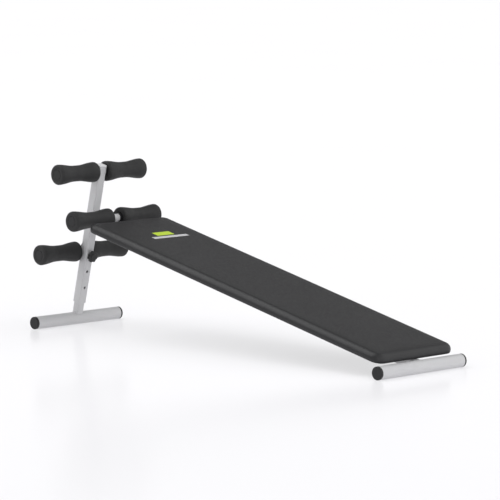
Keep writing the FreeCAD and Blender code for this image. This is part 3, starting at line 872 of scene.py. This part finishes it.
MATERIALS = {
    "frame_paint": powder_coat(),
    "foam": foam_skin(),
    "cover": vinyl(print_mark),
    "plywood": plywood(),
    "black_plastic": plastic(
        "black_plastic", (0.010, 0.010, 0.011), (0.015, 0.015, 0.016), (0.32, 0.42)
    ),
    "sleeve_plastic": plastic(
        "sleeve_plastic", (0.045, 0.045, 0.047), (0.060, 0.060, 0.062), (0.46, 0.56)
    ),
    "light_plastic": plastic(
        "light_plastic", (0.62, 0.62, 0.63), (0.70, 0.70, 0.71), (0.40, 0.50)
    ),
    "zinc_steel": zinc(),
}
for part in frame["record"]["subparts"]:
    shown = nodes[part["node"]]
    shown.data.materials.clear()
    shown.data.materials.append(MATERIALS[part["material_slot"]])

for bar_name in BARS:
    for hand_name in HANDS:
        make_roller(bar_name, hand_name, MATERIALS["foam"])
make_pad(MATERIALS["cover"])
make_staples(MATERIALS["zinc_steel"])
make_welds(MATERIALS["frame_paint"])


# ---- the studio ----

FLOOR_HALF = 80.0
FLOOR_GLOW = 0.65  # keeps the shadows on the floor pale
FLOOR_GLOSS = 0.30
HORIZON = (0.18, 0.30)  # the white horizon fades out between these heights of the sky


def make_floor():
    """A plain pale floor with a faint soft gloss."""
    corners = [
        (x * FLOOR_HALF, y * FLOOR_HALF, 0) for x, y in ((-1, -1), (1, -1), (1, 1), (-1, 1))
    ]
    mesh = mesh_from("floor", corners, [[0, 1, 2, 3]])
    floor = bpy.data.objects.new("floor", mesh)
    bpy.context.scene.collection.objects.link(floor)
    made = Surface("pale_floor", roughness=1.0, specular=0.0)
    made.colour(made.mix(made.clouds(0.7, 3), (0.495, 0.49, 0.51), (0.505, 0.50, 0.52)))
    made.set(Emission_Strength=FLOOR_GLOW, Emission_Color=(1.0, 1.0, 1.01, 1))
    gloss = made.node("ShaderNodeBsdfGlossy")
    gloss.inputs["Roughness"].default_value = 0.18
    blend = made.node("ShaderNodeMixShader")
    blend.inputs["Fac"].default_value = FLOOR_GLOSS
    made.join(made.shader.outputs[0], blend.inputs[1])
    made.join(gloss.outputs[0], blend.inputs[2])
    made.join(blend.outputs[0], made.tree.nodes["Material Output"].inputs["Surface"])
    mesh.materials.append(made.material)


def make_sun(name, strength, spread, source):
    """Broad even light from the direction of source, the same over the whole floor."""
    data = bpy.data.lights.new(name, "SUN")
    data.energy = strength
    data.angle = math.radians(spread)
    sun = bpy.data.objects.new(name, data)
    sun.rotation_euler = Vector(source).to_track_quat("Z", "Y").to_euler()
    bpy.context.scene.collection.objects.link(sun)


def make_world(strength, seen):
    """A dim surround with a white horizon, all of it white where the camera sees it directly."""
    world = bpy.data.worlds.new("studio")
    world.use_nodes = True
    tree = world.node_tree
    tree.nodes.clear()
    lit, shown = (tree.nodes.new("ShaderNodeBackground") for _ in range(2))
    shown.inputs["Strength"].default_value = seen
    shown.inputs["Color"].default_value = (1, 1, 1, 1)
    direction = tree.nodes.new("ShaderNodeTexCoord")
    split = tree.nodes.new("ShaderNodeSeparateXYZ")
    tree.links.new(direction.outputs["Generated"], split.inputs["Vector"])
    height = tree.nodes.new("ShaderNodeMapRange")
    for name, number in (
        ("From Min", HORIZON[0]),
        ("From Max", HORIZON[1]),
        ("To Min", 1.0),
        ("To Max", strength),
    ):
        height.inputs[name].default_value = number
    tree.links.new(split.outputs["Z"], height.inputs["Value"])
    tree.links.new(height.outputs["Result"], lit.inputs["Strength"])
    path = tree.nodes.new("ShaderNodeLightPath")
    mix = tree.nodes.new("ShaderNodeMixShader")
    out = tree.nodes.new("ShaderNodeOutputWorld")
    tree.links.new(path.outputs["Is Camera Ray"], mix.inputs["Fac"])
    tree.links.new(lit.outputs[0], mix.inputs[1])
    tree.links.new(shown.outputs[0], mix.inputs[2])
    tree.links.new(mix.outputs[0], out.inputs["Surface"])
    bpy.context.scene.world = world


def make_camera():
    """A long lens, looking across the bench from its low end."""
    data = bpy.data.cameras.new("camera")
    data.sensor_width = 36
    data.lens = 220.66
    data.clip_start, data.clip_end = 0.5, 400
    camera = bpy.data.objects.new("camera", data)
    camera.location = (6.65823, -6.57125, 1.35866)
    forward = Vector((-0.70465872, 0.70060923, -0.11226221))
    camera.rotation_euler = forward.to_track_quat("-Z", "Y").to_euler()
    bpy.context.scene.collection.objects.link(camera)
    bpy.context.scene.camera = camera


make_floor()
make_world(strength=0.29, seen=1.1)
make_sun("key", 1.6, 90, (1.0, -0.15, 0.45))
make_sun("overhead", 1.8, 60, (-0.50, -0.31, 0.80))
make_sun("far_side", 0.7, 60, (0.35, 0.75, 0.55))
make_camera()
bpy.context.scene.view_settings.view_transform = "Standard"
